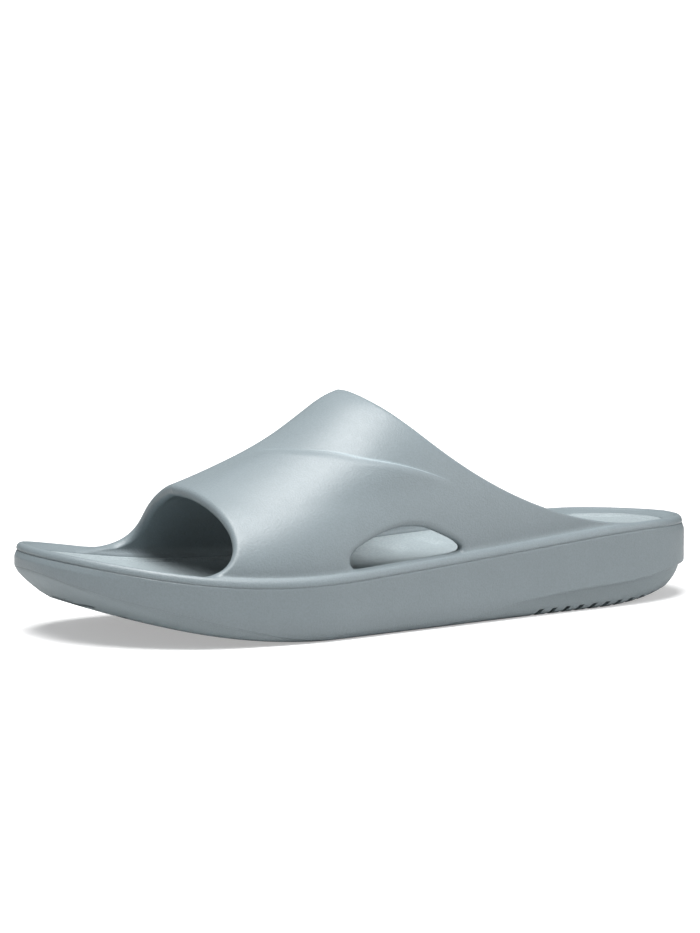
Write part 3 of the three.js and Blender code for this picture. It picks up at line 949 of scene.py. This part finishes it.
@dataclass
class Body:
    """Strap and midsole, moulded as one."""

    last: Last
    outer_fillet: float = 2 * MM
    inner_fillet: float = 4 * MM
    fillet_change: tuple[float, float] = (3 * MM, 8 * MM)
    cutout_round: float = 2.6 * MM
    highlight_width: float = 0.75 * MM

    def mesh(self) -> bpy.types.Mesh:
        """Joins strap and midsole, with soft corners.

        Returns:
            The body's closed surface.
        """
        strap = Strap(self.last)
        cutter = outward(strap.cutter())
        whole = outward(strap.mesh())
        strap_solid, cutter_solid = Solid(whole), Solid(cutter)
        open_strap = combined(whole, cutter, Cut.TAKE)
        softened(open_strap, strap_solid, cutter_solid, Corner.EDGE,
                 lambda points: np.full(len(points), self.cutout_round))
        LOG.info("strap: %d faces", len(open_strap.polygons))
        midsole = outward(Midsole(self.last).mesh())
        open_solid, midsole_solid = Solid(open_strap), Solid(midsole)
        joined = combined(midsole, open_strap, Cut.JOIN)
        softened(joined, midsole_solid, open_solid, Corner.FILLET, self.reach)
        LOG.info("body: %d faces", len(joined.polygons))
        joined.name = "moulded_body"
        self.paint_crease_highlight(joined, strap)
        return joined

    def paint_crease_highlight(self, mesh: bpy.types.Mesh, strap: Strap) -> None:
        """Paints a highlight along the crease's top edge, in the attribute that the foam's colour
        reads.

        Args:
            mesh: The body.
            strap: The strap whose crease it is.
        """
        line = strap.crease_line()
        tree = KDTree(len(line))
        for i, point in enumerate(line):
            tree.insert(point[:3], i)
        tree.balance()
        painted_highlight = np.zeros(len(mesh.vertices))
        for i, vertex in enumerate(mesh.vertices):
            _, row, gap = tree.find(vertex.co)
            if gap < 4 * self.highlight_width:
                # Painted highlight: full on the crease's top edge, fading away from it
                painted_highlight[i] = line[row, 3] * math.exp(-((gap / self.highlight_width) ** 2))
        mesh.attributes.new(PAINTED_HIGHLIGHT, "FLOAT", "POINT").data.foreach_set("value", painted_highlight)

    def reach(self, points: Array) -> Array:
        """How far the fillet between strap and midsole reaches: short outside, longer inside.

        Args:
            points: One row of x, y, z for each.

        Returns:
            The reach at each point.
        """
        last = self.last
        y = points[:, 1] - last.shift()
        station = last.station_of(points[:, 0])
        half = np.abs(last.edge_y(station, np.where(y > last.centreline(station), 1, -1))
                      - last.centreline(station))
        inset = half - np.abs(y - last.centreline(station))
        return blend(self.outer_fillet, self.inner_fillet, ease(inset, *self.fillet_change))


def outward(mesh: bpy.types.Mesh) -> bpy.types.Mesh:
    """Points the faces of a closed mesh outwards.

    Args:
        mesh: The mesh, changed in place.

    Returns:
        The same mesh.
    """
    work = bmesh.new()
    work.from_mesh(mesh)
    bmesh.ops.recalc_face_normals(work, faces=work.faces)
    if work.calc_volume(signed=True) < 0:
        bmesh.ops.reverse_faces(work, faces=work.faces)
    work.to_mesh(mesh)
    work.free()
    return mesh


@dataclass
class Footbed:
    """Dished inlay of even thickness, with ripples over the arch and fine lines round its edge."""

    last: Last
    corner: float = 0.5 * MM
    line_insets: tuple[float, float] = (4 * MM, 2 * MM)
    line_width: float = 1 * MM
    line_depth: float = 0.25 * MM
    ripple_depth: float = 1.4 * MM
    ripple_width: float = 3.5 * MM
    ripple_sway: float = 3.5 * MM
    ripple_length: float = 34 * MM
    ripple_start: tuple[float, float] = (-2 * MM, 12 * MM)
    ripple_fade: float = 9 * MM

    def flat_start(self) -> float:
        """Inset at which the lines of the edge end."""
        return self.last.footbed_inset + self.line_insets[0] + self.line_width

    def top_z(self, x: Array, y: Array, inset: Array | float) -> Array:
        """Height of the top, with the soft ripples over the arch's inner side.

        Args:
            x: Places along the sandal.
            y: Places across it.
            inset: How far in from the outline.

        Returns:
            The heights.
        """
        last = self.last
        start = self.flat_start()
        sway = self.ripple_sway * np.sin(2 * np.pi * y / self.ripple_length)
        deep = np.zeros_like(x)
        for middle in RIPPLES:
            deep += np.exp(-(((x - last.station_x(middle) - sway) / self.ripple_width) ** 2))
        deep *= ease(y, *self.ripple_start) * ease(inset, start, start + self.ripple_fade)
        return last.footbed_z(x, y, inset) - self.ripple_depth * deep

    def mesh(self) -> bpy.types.Mesh:
        """Builds the footbed.

        Returns:
            Its closed surface.
        """
        last = self.last
        outline = last.outline()
        edge = last.footbed_inset

        def edge_z(x: Array, y: Array) -> Array:
            """Height of the top's edge."""
            return last.footbed_z(x, y, edge)

        flat_start = self.flat_start()
        start = outline.ring(flat_start, edge_z)
        rings = last.towards_spine(
            outline, start, np.linspace(1, 0, 30),
            lambda x, y, share: self.top_z(x, y, blend(flat_start, last.dish_reach, share)))
        for line_inset in self.line_insets:
            for t in np.linspace(1, -1, 7):
                inset = edge + line_inset + self.line_width / 2 * (1 + t)
                deep = self.line_depth * math.cos(t * math.pi / 2) ** 2
                rings.append(outline.ring(inset,
                                          lambda x, y: last.footbed_z(x, y, inset) - deep))
        for turn in np.linspace(0, np.pi / 2, 5):
            inset = edge + self.corner * (1 - math.sin(turn))
            drop = self.corner * (1 - math.cos(turn))
            rings.append(outline.ring(inset, lambda x, y: edge_z(x, y) - drop))
        bottom = outline.ring(edge, lambda x, y: edge_z(x, y) - last.footbed_thickness)
        rings.append(bottom)
        rings += last.towards_spine(
            outline, bottom, TO_SPINE,
            lambda x, y, share: last.footbed_z(x, y, blend(edge, last.dish_reach, share))
            - last.footbed_thickness)
        return mesh_of("footbed_inlay", rings, last.shift())


def add_node(tree: bpy.types.NodeTree, kind: str, inputs: dict[str | int, Any] | None = None,
             output: str | int = 0, **settings: str) -> bpy.types.NodeSocket:
    """Adds a node to a tree.

    Args:
        tree: The tree.
        kind: The node's type.
        inputs: Values to set or sockets to link, by the input's name or place.
        output: Name or place of the output that is wanted.
        settings: The node's own settings.

    Returns:
        That output.
    """
    node = tree.nodes.new(kind)
    for name, value in settings.items():
        setattr(node, name, value)
    for key, value in (inputs or {}).items():
        if isinstance(value, bpy.types.NodeSocket):
            tree.links.new(value, node.inputs[key])
        else:
            node.inputs[key].default_value = value
    return node.outputs[output]


@dataclass(frozen=True)
class TreadZone:
    """A stretch of grooves between two stations, its ends a margin in from the sole's edge."""

    start: float
    end: float
    pitch: float
    depth: float
    margin: float


@dataclass
class Outsole:
    """Grooved rubber under the body, its band set back from the side wall at heel and toe."""

    last: Last
    setback: float = 2 * MM
    bevel: float = 6 * MM
    fullness: float = 1.7
    crowding: float = 1.5
    seam: float = 0.08 * MM
    groove_width: float = 2.5 * MM
    groove_depth: float = 2.4 * MM
    lean: float = 0.9
    slant: float = math.radians(14)
    wave: float = 0.9 * MM
    waves: int = 3
    wave_points: int = 33
    pad_sizes: tuple[tuple[float, float, float], ...] = (
        (0.25, 17 * MM, 14 * MM),
        (0.63, 15 * MM, 20 * MM),
    )
    zones: tuple[TreadZone, ...] = (
        TreadZone(start=0.012, end=0.375, pitch=7.2 * MM, depth=2.6 * MM, margin=-10 * MM),
        TreadZone(start=0.60, end=0.83, pitch=6.4 * MM, depth=2.4 * MM, margin=10 * MM),
        TreadZone(start=0.83, end=0.985, pitch=8.4 * MM, depth=1 * MM, margin=5 * MM),
    )

    def blank(self) -> bpy.types.Mesh:
        """Builds the outsole before its grooves are cut.

        Returns:
            Its closed surface.
        """
        last = self.last
        outline = last.outline()
        gap = self.seam
        slope = outline.ring(last.slope_end_inset(), lambda x, y: last.joint_z(x, y) - gap)
        rings = last.towards_spine(outline, slope, TO_SPINE[::-1],
                                   lambda x, y, share: last.joint_z(x, y) - gap)
        rings.append(slope)
        under = last.underside_z(outline.station)
        tall = last.wall_foot_z(outline.station) - gap - under
        rings.append(outline.ring(last.shelf_inset(), under + tall))
        setback = self.setback * np.maximum(0, BAND.curve("setback")(outline.station))
        bevel = self.bevel * np.maximum(0, BAND.curve("bevel")(outline.station))
        for share in 1 - np.linspace(0, 1, 13) ** self.crowding:
            full = 1 - (1 - share) ** self.fullness
            inset = last.edge_turn(share * tall) + blend(bevel, setback, full)
            rings.append(outline.ring(inset, lambda x, y: blend(
                last.underside_z(last.station_of(x)), under + tall, share)))
        rings += last.towards_spine(
            outline, rings[-1], np.linspace(0.1, 1, 10),
            lambda x, y, share: last.underside_z(last.station_of(x)))
        return mesh_of("outsole_blank", rings, last.shift())

    def groove_points(self) -> bpy.types.Mesh:
        """Places a point at the middle of each groove.

        Returns:
            A mesh of the points, with each groove's length as the attribute span.
        """
        last = self.last
        points, spans = [], []
        for zone in self.zones:
            count = math.floor(last.length * (zone.end - zone.start) / zone.pitch)
            station = zone.start + (np.arange(count) + 0.5) * zone.pitch / last.length
            low = last.edge_y(station, OUTER) + last.edge_round + zone.margin
            high = last.edge_y(station, INNER) - last.edge_round - zone.margin
            z = last.underside_z(station) + zone.depth
            points += np.stack([last.station_x(station), (low + high) / 2 + last.shift(), z],
                               axis=1).tolist()
            spans += (high - low).tolist()
        mesh = bpy.data.meshes.new("groove_points")
        mesh.from_pydata(points, [], [])
        mesh.attributes.new("span", "FLOAT", "POINT").data.foreach_set("value", spans)
        return mesh

    def cutters(self, material: bpy.types.Material) -> bpy.types.Mesh:
        """Makes the grooves' solids along the sole by geometry nodes.

        Args:
            material: The outsole's finish.

        Returns:
            One mesh of all the solids.
        """
        piece = piece_of(self.groove_points())
        tree = bpy.data.node_groups.new("tread_grooves", "GeometryNodeTree")
        sizes = {
            "Width": self.groove_width,
            "Height": self.groove_depth + self.last.heel_bevel,
            "Lean": self.lean,
            "Wave": self.wave,
            "Slant": self.slant,
        }
        tree.interface.new_socket("Points", in_out="INPUT", socket_type="NodeSocketGeometry")
        sockets = {name: tree.interface.new_socket(name, in_out="INPUT",
                                                   socket_type="NodeSocketFloat")
                   for name in sizes}
        tree.interface.new_socket("Grooves", in_out="OUTPUT", socket_type="NodeSocketGeometry")
        given = tree.nodes.new("NodeGroupInput").outputs

        def vector(**parts: bpy.types.NodeSocket | float) -> bpy.types.NodeSocket:
            """Vector of sockets or numbers."""
            return add_node(tree, "ShaderNodeCombineXYZ", parts)

        def result(operation: str, *values: bpy.types.NodeSocket | float) -> bpy.types.NodeSocket:
            """Result of a math node on sockets or numbers."""
            return add_node(tree, "ShaderNodeMath", dict(enumerate(values)), operation=operation)

        bar = add_node(tree, "GeometryNodeMeshCube", {
            "Size": vector(X=given["Width"], Y=1, Z=given["Height"]),
            "Vertices Y": self.wave_points,
        })
        place = add_node(tree, "GeometryNodeInputPosition")
        along = add_node(tree, "ShaderNodeSeparateXYZ", {"Vector": place}, "Y")
        height = add_node(tree, "ShaderNodeSeparateXYZ", {"Vector": place}, "Z")
        turn = result("MULTIPLY", along, 2 * math.pi * self.waves)
        wave = result("MULTIPLY", result("SINE", turn), given["Wave"])
        lower = result("MULTIPLY", given["Height"], -0.5)
        lean = result("MULTIPLY", result("ADD", height, lower), given["Lean"])
        bent = add_node(tree, "GeometryNodeSetPosition", {
            "Geometry": bar,
            "Offset": vector(X=result("ADD", wave, lean), Z=lower),
        })
        span = add_node(tree, "GeometryNodeInputNamedAttribute", {"Name": "span"}, "Attribute",
                        data_type="FLOAT")
        copies = add_node(tree, "GeometryNodeInstanceOnPoints", {
            "Points": given["Points"],
            "Instance": bent,
            "Rotation": vector(Z=given["Slant"]),
            "Scale": vector(X=1, Y=span, Z=1),
        })
        real = add_node(tree, "GeometryNodeRealizeInstances", {"Geometry": copies})
        grooves = add_node(tree, "GeometryNodeSetMaterial", {
            "Geometry": real,
            "Material": material,
        })
        tree.links.new(grooves, tree.nodes.new("NodeGroupOutput").inputs["Grooves"])
        modifier = piece.modifiers.new("grooves", "NODES")
        modifier.node_group = tree
        for name, value in sizes.items():
            modifier[sockets[name].identifier] = value
        mesh = baked(piece)
        bpy.data.objects.remove(piece)
        return mesh

    def pads(self) -> list[bpy.types.Mesh]:
        """Ovals that stay free of grooves, which the sandal stands on.

        Returns:
            A solid for each.
        """
        last = self.last
        meshes = []
        for station, half_length, half_width in self.pad_sizes:
            turn = np.linspace(0, 2 * np.pi, 48, endpoint=False)
            x = last.station_x(station) + half_length * np.cos(turn)
            y = last.centreline(station) + half_width * np.sin(turn)
            tall = 2 * self.groove_depth
            rings = [np.stack(np.broadcast_arrays(x, y, z), axis=1) for z in (-tall, tall)]
            caps = [np.broadcast_to([x.mean(), y.mean(), z], rings[0].shape) for z in (-tall, tall)]
            meshes.append(outward(mesh_of("pad", [caps[0], *rings, caps[1]], last.shift())))
        return meshes

    def mesh(self, material: bpy.types.Material) -> bpy.types.Mesh:
        """Cuts the grooves into the outsole.

        Args:
            material: The outsole's finish.

        Returns:
            The closed surface.
        """
        cuts = self.cutters(material)
        for pad in self.pads():
            cuts = combined(cuts, pad, Cut.TAKE)
        mesh = combined(outward(self.blank()), cuts, Cut.TAKE)
        mesh.name = "grooved_outsole"
        return mesh


@dataclass(frozen=True)
class Finish:
    """A moulded foam or rubber finish: an even colour that drifts a little, a fine grain, and a
    painted highlight where the mesh's attribute holds one.
    """

    name: str
    shade: tuple[float, float, float]
    drift: float
    speckle: float
    roughness: float
    grain: float
    relief: float
    specular: float = 0.5
    # How much the painted highlight lightens the colour where it is full
    painted_highlight: float = 1.9
    cloud: float = 18 * MM
    sheen_size: float = 3 * MM
    sheen_change: float = 0.06

    def material(self) -> bpy.types.Material:
        """Makes the finish's material.

        Returns:
            The material, on object coordinates.
        """
        material = bpy.data.materials.new(self.name)
        material.use_nodes = True
        tree = material.node_tree
        shader = tree.nodes["Principled BSDF"]
        shader.inputs["Specular IOR Level"].default_value = self.specular
        place = add_node(tree, "ShaderNodeTexCoord", output="Object")

        def noise(size: float, detail: float) -> bpy.types.NodeSocket:
            """Noise whose features have about that size in metres."""
            return add_node(tree, "ShaderNodeTexNoise",
                            {"Vector": place, "Scale": 1 / size, "Detail": detail}, "Fac")

        def mapped(value: bpy.types.NodeSocket, low: float, high: float,
                   start: float = 0, end: float = 1) -> bpy.types.NodeSocket:
            """Goes from low to high as the value goes from start to end."""
            return add_node(tree, "ShaderNodeMapRange", {
                "Value": value, "From Min": start, "From Max": end, "To Min": low, "To Max": high})

        def scaled(colour: bpy.types.NodeSocket,
                   factor: bpy.types.NodeSocket) -> bpy.types.NodeSocket:
            """The colour times a factor."""
            return add_node(tree, "ShaderNodeVectorMath", {0: colour, "Scale": factor},
                            operation="SCALE")

        ramp = tree.nodes.new("ShaderNodeValToRGB")
        ends = ((0.3, 1 - self.drift), (0.7, 1 + self.drift))
        for stop, (position, factor) in zip(ramp.color_ramp.elements, ends):
            stop.position = position
            stop.color = (*(channel * factor for channel in self.shade), 1)
        tree.links.new(noise(self.cloud, 3), ramp.inputs["Fac"])
        dots = mapped(noise(self.grain, 1), 1 - self.speckle, 1 + self.speckle, 0.3, 0.7)
        # Painted highlight: the crease's attribute lightens the base colour
        highlight_mask = add_node(tree, "ShaderNodeAttribute", output="Fac", attribute_name=PAINTED_HIGHLIGHT)
        highlighted = mapped(highlight_mask, 1, self.painted_highlight)
        colour = scaled(scaled(ramp.outputs["Color"], dots), highlighted)
        tree.links.new(colour, shader.inputs["Base Color"])
        sheen = self.sheen_change
        rough = mapped(noise(self.sheen_size, 2), self.roughness - sheen, self.roughness + sheen)
        tree.links.new(rough, shader.inputs["Roughness"])
        bump = add_node(tree, "ShaderNodeBump",
                        {"Distance": self.relief, "Height": noise(self.grain, 2)})
        tree.links.new(bump, shader.inputs["Normal"])
        return material


FOAM = Finish(
    name="foam", shade=(0.165, 0.198, 0.213), drift=0.02, speckle=0.05, roughness=0.45,
    grain=0.7 * MM, relief=0.12 * MM,
)
INSOLE = Finish(
    name="insole_foam", shade=(0.24, 0.28, 0.295), drift=0.025, speckle=0.1, roughness=0.6,
    grain=0.9 * MM, relief=0.18 * MM,
)
RUBBER = Finish(
    name="rubber", shade=(0.19, 0.224, 0.238), drift=0.02, speckle=0.05, roughness=0.6,
    grain=0.5 * MM, relief=0.1 * MM, specular=0.4,
)


def dressed(mesh: bpy.types.Mesh, material: bpy.types.Material, node: str) -> bpy.types.Object:
    """Shows a mesh in place of a node of the frame.

    Args:
        mesh: The finished mesh.
        material: Its finish.
        node: The node that it stands for.

    Returns:
        The piece, riding on the sandal.
    """
    mesh.materials.clear()
    mesh.materials.append(material)
    mesh.shade_smooth()
    mesh.set_sharp_from_angle(angle=SHARP_ANGLE)
    piece = piece_of(mesh)
    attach(piece, "root")
    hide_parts(node)
    LOG.info("%s stands for %s: %d faces", piece.name, node, len(mesh.polygons))
    return piece


@dataclass(frozen=True)
class Lamp:
    """A square soft light."""

    name: str
    place: tuple[float, float, float]
    aim: tuple[float, float, float]
    size: float
    power: float

    def hang(self) -> None:
        """Hangs the light at its place, facing its aim."""
        data = bpy.data.lights.new(self.name, "AREA")
        data.size = self.size
        data.energy = self.power
        light = bpy.data.objects.new(self.name, data)
        light.location = self.place
        light.rotation_mode = "QUATERNION"
        facing = Vector(self.aim) - Vector(self.place)
        light.rotation_quaternion = facing.to_track_quat("-Z", "Y")
        bpy.context.scene.collection.objects.link(light)


@dataclass
class Studio:
    """Floor, lights, backdrop and camera."""

    azimuth: float = math.radians(-29.5)
    elevation: float = math.radians(5.6)
    roll: float = math.radians(-0.35)
    distance: float = 1.1
    target: tuple[float, float, float] = (-0.011917, -0.00038, 0.0617)
    lens: float = 104.02
    lamps: tuple[Lamp, ...] = (
        Lamp(name="key", place=(-0.2, -0.16, 1.04), aim=(-0.02, 0, 0.04), size=0.8, power=28),
        Lamp(name="fill", place=(0.8, -0.6, 0.36), aim=(0, 0, 0.04), size=0.6, power=3.6),
    )
    white: float = 1.2
    floor_half: float = 8
    floor_gap: float = 0.1 * MM
    floor_albedo: float = 0.65
    floor_roughness: float = 0.9
    floor_glow: float = 0.4
    glow_start: float = 0.2
    glow_end: float = 1.2
    sky_toe: float = 0.01
    sky_heel: float = 0.15

    def camera(self) -> None:
        """The camera at the photograph's angle."""
        back = Vector((math.sin(self.azimuth) * math.cos(self.elevation),
                       -math.cos(self.azimuth) * math.cos(self.elevation),
                       math.sin(self.elevation)))
        level = (-back).cross(Vector((0, 0, 1))).normalized()
        upright = level.cross(-back)
        right = level * math.cos(self.roll) + upright * math.sin(self.roll)
        up = upright * math.cos(self.roll) - level * math.sin(self.roll)
        data = bpy.data.cameras.new("camera")
        data.lens = self.lens
        camera = bpy.data.objects.new("camera", data)
        bpy.context.scene.collection.objects.link(camera)
        turned = Matrix((right, up, back)).transposed().to_4x4()
        camera.matrix_world = Matrix.Translation(Vector(self.target) + back * self.distance) @ turned
        bpy.context.scene.camera = camera

    def floor(self) -> None:
        """Pale floor that brightens to plain white away from the sandal."""
        mesh = bpy.data.meshes.new("floor")
        half = self.floor_half
        mesh.from_pydata([(-half, -half, 0), (half, -half, 0), (half, half, 0), (-half, half, 0)],
                         [], [(0, 1, 2, 3)])
        mesh.transform(Matrix.Translation((0, 0, -self.floor_gap)))
        material = bpy.data.materials.new("floor")
        material.use_nodes = True
        tree = material.node_tree
        albedo = self.floor_albedo
        away = add_node(tree, "ShaderNodeVectorMath",
                        {0: add_node(tree, "ShaderNodeTexCoord", output="Object")}, "Value",
                        operation="LENGTH")
        glow = add_node(tree, "ShaderNodeMapRange", {
            "Value": away, "From Min": self.glow_start, "From Max": self.glow_end,
            "To Min": self.floor_glow, "To Max": self.white}, interpolation_type="SMOOTHSTEP")
        camera_ray = add_node(tree, "ShaderNodeLightPath", output="Is Camera Ray")
        seen = add_node(tree, "ShaderNodeMath", {0: glow, 1: camera_ray}, operation="MULTIPLY")
        shader = tree.nodes["Principled BSDF"]
        for name, value in (("Base Color", (albedo, albedo, albedo, 1)),
                            ("Roughness", self.floor_roughness),
                            ("Specular IOR Level", 0),
                            ("Emission Color", (1, 1, 1, 1))):
            shader.inputs[name].default_value = value
        tree.links.new(seen, shader.inputs["Emission Strength"])
        mesh.materials.append(material)
        piece_of(mesh)

    def backdrop(self) -> None:
        """White backdrop that lights the sandal only a little."""
        world = bpy.data.worlds.new("backdrop")
        world.use_nodes = True
        tree = world.node_tree
        way = add_node(tree, "ShaderNodeTexCoord", output="Generated")
        along = add_node(tree, "ShaderNodeSeparateXYZ", {"Vector": way}, "X")
        fill = add_node(tree, "ShaderNodeMapRange", {
            "Value": along, "From Min": -1, "To Min": self.sky_toe, "To Max": self.sky_heel})
        camera_ray = add_node(tree, "ShaderNodeLightPath", output="Is Camera Ray")
        strength = add_node(tree, "ShaderNodeMapRange", {
            "Value": camera_ray, "To Min": fill, "To Max": self.white})
        shader = tree.nodes["Background"]
        shader.inputs["Color"].default_value = (1, 1, 1, 1)
        tree.links.new(strength, shader.inputs["Strength"])
        bpy.context.scene.world = world

    def build(self) -> None:
        """Sets up the whole studio."""
        self.camera()
        self.floor()
        self.backdrop()
        for lamp in self.lamps:
            lamp.hang()
        bpy.context.scene.view_settings.view_transform = "Standard"


def main() -> None:
    """Builds the studio and the sandal's pieces."""
    logging.basicConfig(level=logging.INFO, format="%(message)s")
    Studio().build()
    last = Last()
    rubber = RUBBER.material()
    dressed(Body(last).mesh(), FOAM.material(), "upper_and_midsole")
    dressed(outward(Footbed(last).mesh()), INSOLE.material(), "footbed")
    dressed(Outsole(last).mesh(rubber), rubber, "outsole")


if __name__ == "__main__":
    main()
